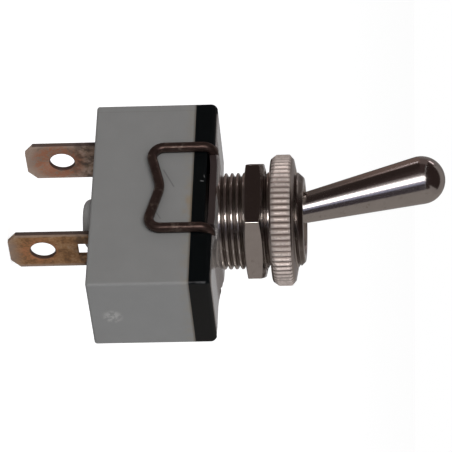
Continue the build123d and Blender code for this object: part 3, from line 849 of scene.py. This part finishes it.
def make_world():
    """White where it is seen or mirrored, and a plain level of light on the object."""
    world = bpy.data.worlds.new("studio")
    bpy.context.scene.world = world
    world.use_nodes = True
    tree = world.node_tree
    tree.nodes.clear()
    output = tree.nodes.new("ShaderNodeOutputWorld")
    background = tree.nodes.new("ShaderNodeBackground")
    strength = tree.nodes.new("ShaderNodeMapRange")
    background.inputs["Color"].default_value = (1, 1, 1, 1)
    strength.inputs[3].default_value = world_on_matt_faces
    strength.inputs[4].default_value = world_seen
    tree.links.new(light_path_mask(tree), strength.inputs[0])
    tree.links.new(strength.outputs[0], background.inputs["Strength"])
    tree.links.new(background.outputs[0], output.inputs[0])


def make_floor():
    """A wide pale floor just under the blades; where it is seen it glows a little, so that it
    reads white and keeps the object's shadow."""
    corners = np.array([[(-1, -1, 0), (-1, 1, 0)], [(1, -1, 0), (1, 1, 0)]], float)
    corners *= floor_half / MM
    corners[..., 2] = cad_low[2] / MM - floor_drop
    floor = surface("floor", corners, wrap_columns=False)
    material = bpy.data.materials.new("floor")
    material.use_nodes = True
    tree = material.node_tree
    shader = tree.nodes["Principled BSDF"]
    shader.inputs["Base Color"].default_value = (0.82, 0.82, 0.82, 1)
    shader.inputs["Roughness"].default_value = 0.9
    shader.inputs["Specular IOR Level"].default_value = 0.0
    shader.inputs["Emission Color"].default_value = (1, 1, 1, 1)
    glow = tree.nodes.new("ShaderNodeMath")
    glow.operation = "MULTIPLY"
    glow.inputs[1].default_value = floor_glow
    tree.links.new(light_path_mask(tree), glow.inputs[0])
    tree.links.new(glow.outputs[0], shader.inputs["Emission Strength"])
    floor.data.materials.append(material)


def card(name, from_degrees, to_degrees, low, high, radius, colour):
    """A card curved about the bush's axis that only mirrors see: azimuths in degrees."""
    turn = np.radians(np.linspace(from_degrees, to_degrees, 40))
    heights = np.array([low, high])
    points = np.stack([
        np.broadcast_to(radius * np.cos(turn), (2, len(turn))),
        np.broadcast_to(radius * np.sin(turn), (2, len(turn))),
        np.broadcast_to(heights[:, None], (2, len(turn))),
    ], -1)
    show_only_in_mirrors(surface(name, points, wrap_columns=False), colour)


def show_only_in_mirrors(panel, colour):
    """Gives a card its even glow and hides it from the camera, from matt faces and as a shade."""
    material = bpy.data.materials.new(panel.name)
    material.use_nodes = True
    tree = material.node_tree
    tree.nodes.clear()
    glow = tree.nodes.new("ShaderNodeEmission")
    glow.inputs["Color"].default_value = (*colour, 1)
    glow.inputs["Strength"].default_value = 1.0
    output = tree.nodes.new("ShaderNodeOutputMaterial")
    tree.links.new(glow.outputs[0], output.inputs[0])
    panel.data.materials.append(material)
    panel.visible_camera = False
    panel.visible_diffuse = False
    panel.visible_shadow = False


def lamp(name, place, watts, colour):
    """A square lamp, aimed at the origin, that lights matt faces and stays out of the mirrors."""
    data = bpy.data.lights.new(name, "AREA")
    data.size = lamp_size
    data.energy = watts
    data.color = colour
    light = bpy.data.objects.new(name, data)
    light.location = place
    direction = -Vector(place)
    light.rotation_euler = direction.to_track_quat("-Z", "Y").to_euler()
    light.visible_glossy = False
    bpy.context.scene.collection.objects.link(light)


# What the metal mirrors is a ring of cards about the bush's axis, closed by a lid and a table.
# The upright faces mirror the low row, and the leaning lever mirrors the high row and, where
# that ends, the tall row. The spots stand a little nearer and cover the rows, each with its own
# heights. Azimuths are counted from the camera's own; less is up in the picture.
view_azimuth = -51.2
card_radius = 200.0
spot_radius = 194.0
card_split = 14.0
card_top = 190.0
low_row = [
    ("low_far", -190, -150, (0.10, 0.085, 0.08)),
    ("low_brown", -150, -92, (0.17, 0.12, 0.105)),
    ("low_dark", -92, -4, (0.026, 0.018, 0.016)),
    ("low_shade", -4, 45, (0.035, 0.028, 0.03)),
    ("low_table", 45, 170, (0.27, 0.24, 0.225)),
]
high_row = [
    ("high_dark", -84, -34, (0.05, 0.034, 0.032)),
    ("high_halo", -34, -24, (0.22, 0.19, 0.19)),
    ("high_glow", -24, -18, (0.8, 0.75, 0.75)),
    ("high_strip", -18, 2, (3.2, 3.1, 3.15)),
    ("high_blue", 2, 17, (0.30, 0.31, 0.42)),
    ("high_shade", 17, 50, (0.05, 0.042, 0.048)),
]
tall_row = [
    ("tall_far", -190, -128, (0.19, 0.17, 0.165)),
    ("tall_brown", -128, -84, (0.13, 0.10, 0.095)),
    ("tall_table", 50, 170, (0.26, 0.235, 0.22)),
]
strip_top = 99.0
spots = [
    ("bush_strip", -14, -4, -15.6, card_split, (13.0, 12.4, 12.2)),
    ("behind_plate", -205, -155, 4.0, 34.0, (0.36, 0.35, 0.35)),
    ("tip_spark", -122, -113, 95.0, 160.0, (1.5, 1.3, 1.3)),
    ("over_strips", -111, 50, strip_top, card_top, (0.03, 0.02, 0.018)),
    ("knurl_glint_up", -105, -96, -9.3, -6.4, (2.2, 2.1, 2.2)),
    ("knurl_glint_low", 71, 81, -9.3, -6.4, (2.2, 2.1, 2.2)),
    ("bush_glint", -105, -96, -17.0, -12.6, (0.65, 0.5, 0.47)),
    ("wire_glint", 112, 124, -26.4, -15.5, (2.6, 2.4, 2.2)),
]
lid_colour = (0.24, 0.215, 0.205)
near_lid = (-46.0, 196.0, -196.0, 96.0, (0.03, 0.02, 0.018))
table_colour = (0.085, 0.07, 0.065)


def make_disc(name, z, colour):
    """A flat card, a disc about the bush's axis, that closes the ring of cards."""
    radius = np.array([0.0, card_radius * 1.02])
    height = np.array([z, z])
    show_only_in_mirrors(surface(name, around(radius, height, 48)), colour)


def make_near_lid():
    """The dark half of the lid, a rectangle turned to the camera's azimuth, just under the disc:
    the first two numbers run towards the camera and the next two to the side below the picture."""
    back, front, above, below, colour = near_lid
    turn = math.radians(view_azimuth)
    towards = np.array([[back, back], [front, front]])
    across = np.array([[above, below], [above, below]])
    x = towards * math.cos(turn) - across * math.sin(turn)
    y = towards * math.sin(turn) + across * math.cos(turn)
    points = np.stack([x, y, np.full((2, 2), card_top - 1.0)], -1)
    show_only_in_mirrors(surface("near_lid", points, wrap_columns=False), colour)


def make_studio():
    make_camera()
    make_world()
    make_floor()
    floor_z = cad_low[2] / MM
    rows = [
        (low_row, floor_z, card_split),
        (high_row, card_split, strip_top),
        (tall_row, card_split, card_top),
    ]
    for row, low, high in rows:
        for name, first, last, colour in row:
            card(name, view_azimuth + first, view_azimuth + last, low, high, card_radius, colour)
    for name, first, last, low, high, colour in spots:
        card(name, view_azimuth + first, view_azimuth + last, low, high, spot_radius, colour)
    make_disc("lid", card_top, lid_colour)
    make_near_lid()
    make_disc("table", floor_z - 0.02, table_colour)
    for name, place, watts, colour in lamps:
        lamp(name, place, watts, colour)
    bpy.context.scene.view_settings.view_transform = "Standard"


# Dressing

def dress_node(node, material):
    """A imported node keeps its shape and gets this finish."""
    mesh = nodes[node].data
    mesh.materials.clear()
    mesh.materials.append(material)


def dress_piece(piece, material, body, slot, *replaced):
    """A made piece gets its finish and its body, and the node that it stands for is hidden; slot is
    not used.
    """
    piece.data.materials.clear()
    piece.data.materials.append(material)
    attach(piece, body)
    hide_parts(*replaced)


def merged_copy(node, name):
    """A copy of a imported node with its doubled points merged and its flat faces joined."""
    mesh = nodes[node].data.copy()
    mesh.name = name
    sheet = bmesh.new()
    sheet.from_mesh(mesh)
    bmesh.ops.remove_doubles(sheet, verts=sheet.verts, dist=1e-7)
    flat = math.radians(1)
    bmesh.ops.dissolve_limit(sheet, angle_limit=flat, verts=sheet.verts, edges=sheet.edges)
    sheet.to_mesh(mesh)
    sheet.free()
    mesh.shade_smooth()
    piece = bpy.data.objects.new(name, mesh)
    bpy.context.scene.collection.objects.link(piece)
    return piece


def dress_spring(material):
    """The plunger's spring, which on the real switch shortens along the lever's axis towards its
    fixed end when the plunger is pushed in; here it is a merged copy with a mesh of its own, and
    nothing makes it shorten."""
    spring = merged_copy("plunger_spring", "spring_coil")
    dress_piece(spring, material, "toggle", "spring_steel", "plunger_spring")
    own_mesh(spring)


def dress_inside():
    """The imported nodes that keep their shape, most of them out of sight."""
    spring_steel = plain_metal("spring steel", (0.50, 0.50, 0.51), (0.62, 0.62, 0.63), 0.25)
    silver = plain_metal("contact silver", (0.70, 0.69, 0.67), (0.82, 0.81, 0.79), 0.3)
    clean_brass = plain_metal("clean brass", (0.55, 0.38, 0.18), (0.68, 0.50, 0.26), 0.3)
    nylon = plain_moulding("nylon", (0.62, 0.60, 0.54), (0.74, 0.72, 0.66), 0.8, 0.4)
    fibre = plain_moulding("fibre", (0.30, 0.13, 0.07), (0.42, 0.2, 0.11), 1.6, 0.6)
    dress_node("pivot_pin", spring_steel)
    dress_spring(spring_steel)
    for node in ("moving_contact", "fixed_contact"):
        dress_node(node, silver)
    for node in ("rocker_arm", "fulcrum_bracket"):
        dress_node(node, clean_brass)
    for node in ("common_foot", "fixed_foot", "common_rivet", "fixed_rivet"):
        dress_node(node, clean_brass)
    dress_node("plunger", nylon)
    dress_node("insulating_shield", fibre)


def dress_blades():
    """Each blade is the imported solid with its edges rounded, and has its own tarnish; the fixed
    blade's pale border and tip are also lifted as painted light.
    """
    common_x = common_high[0] - blade_half_thickness
    common_hole = (common_x, 0.0, common_low[2] + common_hole_from_tip)
    fixed_x = fixed_low[0] + blade_half_thickness
    fixed_hole = (fixed_x, 0.0, fixed_low[2] + fixed_hole_from_tip)
    ochre = [
        (0.34, (0.11, 0.055, 0.026)),
        (0.46, (0.235, 0.115, 0.045)),
        (0.56, (0.34, 0.185, 0.085)),
        (0.70, (0.42, 0.31, 0.21)),
    ]
    pinkish = [
        (0.34, (0.20, 0.14, 0.105)),
        (0.46, (0.40, 0.27, 0.20)),
        (0.56, (0.52, 0.38, 0.30)),
        (0.70, (0.60, 0.50, 0.42)),
    ]
    common_finish = blade_brass("common blade brass", common_hole, housing_low[2] - 2.0, ochre,
                                (0.34, 0.265, 0.22), (0.36, 0.13, 0.055), 1.6)
    # Painted light: the fixed blade's pale border and tip are set well paler than the common
    # blade's, to make up for the shade it stands in.
    fixed_finish = blade_brass("fixed blade brass", fixed_hole, housing_low[2] - 3.0, pinkish,
                               (0.52, 0.39, 0.32), (0.44, 0.14, 0.055), 2.5)
    common_blade = bevel(merged_copy("common_terminal", "common_blade"), 0.06, 2)
    fixed_blade = bevel(merged_copy("fixed_terminal", "fixed_blade"), 0.06, 2)
    dress_piece(common_blade, common_finish, "body", "blade_brass", "common_terminal")
    dress_piece(fixed_blade, fixed_finish, "body", "blade_brass", "fixed_terminal")


def dress_outside():
    """The mouldings and the plate keep their shape; the other pieces are made here."""
    dress_node("housing", grey_moulding())
    dress_node("insulating_cover", black_moulding())
    dress_node("mounting_plate", plate_steel())
    dress_piece(make_bush(), thread_nickel(), "body", "bright_nickel", "threaded_bush")
    wire_finish = clip_wire()
    dress_piece(make_clip("front_wire", 1), wire_finish, "body", "clip_wire", "front_clip")
    dress_piece(make_clip("back_wire", -1), wire_finish, "body", "clip_wire", "back_clip")
    hex_finish = bright_nickel("hex nut nickel", 3.0)
    dress_piece(make_hex_nut(), hex_finish, "back_nut", "bright_nickel", "hex_nut")
    dress_piece(make_knurled_nut(), knurl_nickel(), "ring_nut", "bright_nickel", "knurled_nut")
    lever_finish = bright_nickel("lever nickel", 5.0, 0.03)
    dress_piece(make_lever(), lever_finish, "toggle", "bright_nickel", "lever")


make_studio()
dress_inside()
dress_blades()
dress_outside()
